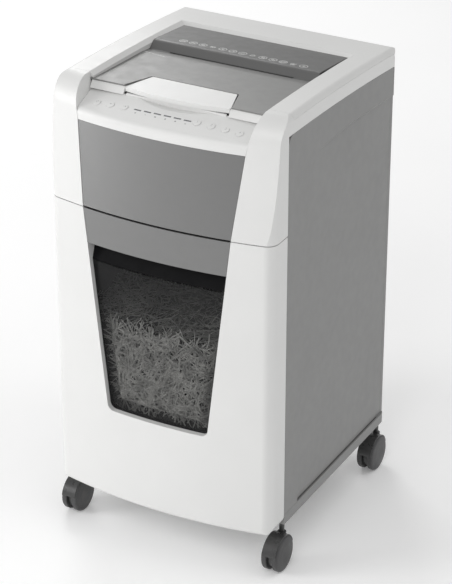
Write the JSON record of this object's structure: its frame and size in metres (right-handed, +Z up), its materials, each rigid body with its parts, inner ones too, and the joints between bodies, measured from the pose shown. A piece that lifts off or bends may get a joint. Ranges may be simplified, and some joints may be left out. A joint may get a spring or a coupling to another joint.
{
  "type": "paper shredder",
  "caption": "Floor-standing paper shredder with a lidded automatic feed tray, a button row, and a pull-out windowed waste bin, on twin-wheel casters.",
  "frame": {"origin": "on the floor, centred under the object's bounding box", "axes": "+Z up, -Y out of the bin's front, +X to the user's right when they face the front"},
  "size_m": [0.416, 0.4525, 0.8033],
  "materials": {
    "grey_shell": "fine grain",
    "white_shell": "satin",
    "lid_grey": "satin",
    "lid_dark_grey": "satin",
    "dark_plastic": "fine grain",
    "gear_plastic": "smooth",
    "zinc_steel": "zinc plated",
    "bright_steel": "ground",
    "bush_bronze": "sintered",
    "roller_rubber": "matte",
    "lens_grey": "translucent",
    "board_green": "solder mask",
    "window_smoke": "smoked, clear",
    "caster_black": "satin",
    "caster_tread": "satin"
  },
  "bodies": {
    "cabinet": {"side_panel_left": "grey_shell", "side_panel_right": "grey_shell", "rear_panel": "grey_shell", "base_tray": "dark_plastic", "head_frame": "white_shell", "head_front_panel": "grey_shell", "control_panel": "white_shell", "indicator_lights": "lens_grey", "feed_deck": "dark_plastic", "cutter_deck": "dark_plastic", "cutter_plate_left": "zinc_steel", "cutter_plate_right": "zinc_steel", "tie_rods": "bright_steel", "stripper_combs": "bright_steel", "shaft_bushes": "bush_bronze", "gear_motor": "zinc_steel", "control_board": "board_green", "safety_switches": "dark_plastic", "mains_inlet": "dark_plastic", "panel_screws": "bright_steel"},
    "lid": {"lid_frame": "white_shell", "lid_front_panel": "lid_grey", "lid_rear_panel": "lid_dark_grey", "lid_liner": "dark_plastic", "hinge_pins": "bright_steel"},
    "latch_tab": {"latch_tab": "white_shell"},
    "pressure_plate": {"pressure_plate": "dark_plastic"},
    "front_cutter": {"cutter_shaft_front": "bright_steel", "drive_gear": "gear_plastic"},
    "rear_cutter": {"cutter_shaft_rear": "bright_steel", "cutter_gear_rear": "gear_plastic"},
    "motor_pinion": {"motor_pinion": "bright_steel"},
    "front_roller": {"feed_roller_front": "bright_steel", "feed_tyres_front": "roller_rubber"},
    "rear_roller": {"feed_roller_rear": "bright_steel", "feed_tyres_rear": "roller_rubber"},
    "bin": {"bin_front": "white_shell", "bin_handle_band": "grey_shell", "bin_window": "window_smoke", "bin_grip": "dark_plastic", "bin_tub": "dark_plastic"},
    "button_power": {"button_power": "white_shell"},
    "button_reverse": {"button_reverse": "white_shell"},
    "button_forward": {"button_forward": "white_shell"},
    "button_1": {"button_1": "white_shell"},
    "button_2": {"button_2": "white_shell"},
    "button_3": {"button_3": "white_shell"},
    "button_4": {"button_4": "white_shell"},
    "caster_fl": {"caster_housing_fl": "caster_black"},
    "wheels_fl": {"caster_axle_fl": "bright_steel", "caster_wheels_fl": "caster_tread"},
    "caster_fr": {"caster_housing_fr": "caster_black"},
    "wheels_fr": {"caster_axle_fr": "bright_steel", "caster_wheels_fr": "caster_tread"},
    "caster_rl": {"caster_housing_rl": "caster_black"},
    "wheels_rl": {"caster_axle_rl": "bright_steel", "caster_wheels_rl": "caster_tread"},
    "caster_rr": {"caster_housing_rr": "caster_black"},
    "wheels_rr": {"caster_axle_rr": "bright_steel", "caster_wheels_rr": "caster_tread"}
  },
  "joints": [
    {"name": "lid_hinge", "type": "hinge", "parent": "cabinet", "child": "lid", "pos_m": [0, 0.2205, 0.7755], "axis": [-1, 0, 0], "range_deg": [0, 60]},
    {"name": "latch_tab_pivot", "type": "hinge", "parent": "lid", "child": "latch_tab", "pos_m": [0, -0.096, 0.78325], "axis": [-1, 0, 0], "range_deg": [0, 6], "stiffness_Nm_per_rad": 1.2, "springref_deg": -14.32},
    {"name": "pressure_plate_lift", "type": "slide", "parent": "lid", "child": "pressure_plate", "axis": [0, 0, 1], "range_m": [0, 0.008], "stiffness_N_per_m": 150, "springref_m": -0.02},
    {"name": "bin_slide", "type": "slide", "parent": "cabinet", "child": "bin", "axis": [0, -1, 0], "range_m": [0, 0.36]},
    {"name": "front_cutter_turn", "type": "hinge", "parent": "cabinet", "child": "front_cutter", "pos_m": [0, -0.021, 0.668], "axis": [1, 0, 0], "continuous": true},
    {"name": "rear_cutter_turn", "type": "hinge", "parent": "cabinet", "child": "rear_cutter", "pos_m": [0, 0.021, 0.668], "axis": [1, 0, 0], "continuous": true},
    {"name": "motor_turn", "type": "hinge", "parent": "cabinet", "child": "motor_pinion", "pos_m": [0, -0.08175, 0.668], "axis": [1, 0, 0], "continuous": true},
    {"name": "rear_roller_turn", "type": "hinge", "parent": "cabinet", "child": "rear_roller", "pos_m": [0, 0.018, 0.71748], "axis": [1, 0, 0], "continuous": true},
    {"name": "front_roller_turn", "type": "hinge", "parent": "cabinet", "child": "front_roller", "pos_m": [0, -0.018, 0.71748], "axis": [1, 0, 0], "continuous": true},
    {"name": "button_power_press", "type": "slide", "parent": "cabinet", "child": "button_power", "axis": [0.0444, 0.2957, -0.9542], "range_m": [0, 0.0008], "stiffness_N_per_m": 900, "springref_m": -0.0006},
    {"name": "button_reverse_press", "type": "slide", "parent": "cabinet", "child": "button_reverse", "axis": [0.0359, 0.2969, -0.9542], "range_m": [0, 0.0008], "stiffness_N_per_m": 900, "springref_m": -0.0006},
    {"name": "button_forward_press", "type": "slide", "parent": "cabinet", "child": "button_forward", "axis": [0.0272, 0.2978, -0.9542], "range_m": [0, 0.0008], "stiffness_N_per_m": 900, "springref_m": -0.0006},
    {"name": "button_1_press", "type": "slide", "parent": "cabinet", "child": "button_1", "axis": [-0.0188, 0.2984, -0.9542], "range_m": [0, 0.0008], "stiffness_N_per_m": 900, "springref_m": -0.0006},
    {"name": "button_2_press", "type": "slide", "parent": "cabinet", "child": "button_2", "axis": [-0.0276, 0.2978, -0.9542], "range_m": [0, 0.0008], "stiffness_N_per_m": 900, "springref_m": -0.0006},
    {"name": "button_3_press", "type": "slide", "parent": "cabinet", "child": "button_3", "axis": [-0.0362, 0.2968, -0.9542], "range_m": [0, 0.0008], "stiffness_N_per_m": 900, "springref_m": -0.0006},
    {"name": "button_4_press", "type": "slide", "parent": "cabinet", "child": "button_4", "axis": [-0.0448, 0.2957, -0.9542], "range_m": [0, 0.0008], "stiffness_N_per_m": 900, "springref_m": -0.0006},
    {"name": "caster_swivel_fl", "type": "hinge", "parent": "cabinet", "child": "caster_fl", "pos_m": [-0.192, -0.1495, 0.06], "axis": [0, 0, 1], "continuous": true},
    {"name": "caster_roll_fl", "type": "hinge", "parent": "caster_fl", "child": "wheels_fl", "pos_m": [-0.192, -0.1655, 0.031], "axis": [1, 0, 0], "continuous": true},
    {"name": "caster_swivel_fr", "type": "hinge", "parent": "cabinet", "child": "caster_fr", "pos_m": [0.192, -0.1495, 0.06], "axis": [0, 0, 1], "continuous": true},
    {"name": "caster_roll_fr", "type": "hinge", "parent": "caster_fr", "child": "wheels_fr", "pos_m": [0.192, -0.1655, 0.031], "axis": [1, 0, 0], "continuous": true},
    {"name": "caster_swivel_rl", "type": "hinge", "parent": "cabinet", "child": "caster_rl", "pos_m": [-0.192, 0.21, 0.06], "axis": [0, 0, 1], "continuous": true},
    {"name": "caster_roll_rl", "type": "hinge", "parent": "caster_rl", "child": "wheels_rl", "pos_m": [-0.192, 0.194, 0.031], "axis": [1, 0, 0], "continuous": true},
    {"name": "caster_swivel_rr", "type": "hinge", "parent": "cabinet", "child": "caster_rr", "pos_m": [0.192, 0.21, 0.06], "axis": [0, 0, 1], "continuous": true},
    {"name": "caster_roll_rr", "type": "hinge", "parent": "caster_rr", "child": "wheels_rr", "pos_m": [0.192, 0.194, 0.031], "axis": [1, 0, 0], "continuous": true}
  ],
  "couplings": [
    {"joint": "rear_cutter_turn", "follows": "front_cutter_turn", "ratio": -1},
    {"joint": "motor_turn", "follows": "front_cutter_turn", "ratio": -2.8571},
    {"joint": "rear_roller_turn", "follows": "front_cutter_turn", "ratio": -2.5},
    {"joint": "front_roller_turn", "follows": "front_cutter_turn", "ratio": 2.5}
  ]
}
